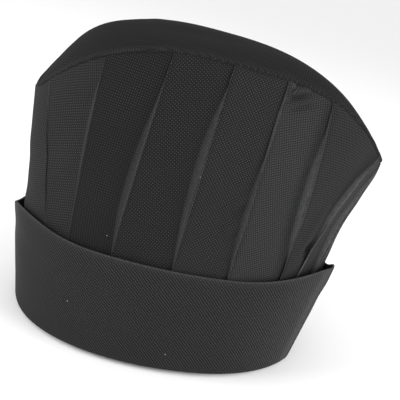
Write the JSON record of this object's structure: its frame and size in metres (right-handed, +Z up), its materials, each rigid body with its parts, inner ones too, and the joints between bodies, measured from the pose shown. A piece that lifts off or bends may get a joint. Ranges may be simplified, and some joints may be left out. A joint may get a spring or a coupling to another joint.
{
  "type": "chef toque",
  "caption": "Cook's hat: knife-pleated crown under a smooth top panel, on a tall band whose cuff is turned up outside and flares.",
  "frame": {"origin": "middle of the cuff's bottom edge, on the surface that the hat stands on", "axes": "+Z up through the crown, +X along the hat's longer side, to the right when looking at its front, and the front faces -Y"},
  "size_m": [0.2522, 0.156, 0.2175],
  "materials": {
    "pleat_cloth": "matt black cloth with a fine square emboss",
    "top_cloth": "matt black cloth, smooth",
    "cuff_cloth": "matt black cloth with a fine diagonal emboss",
    "sweatband_cloth": "soft brushed dark grey cloth",
    "stiffener": "stiff off-white felted sheet",
    "binding_tape": "matt black ribbed tape",
    "thread": "black twisted thread, slight sheen"
  },
  "bodies": {
    "root": {"crown_top": "top_cloth", "crown_wall": "pleat_cloth", "cuff": "cuff_cloth", "headband": "cuff_cloth", "cuff_interlining": "stiffener", "sweatband": "sweatband_cloth", "crown_binding": "binding_tape", "top_seam_thread": "thread", "band_seam_thread": "thread", "sweatband_thread": "thread", "crown_back_thread": "thread", "band_back_thread": "thread"}
  },
  "joints": []
}
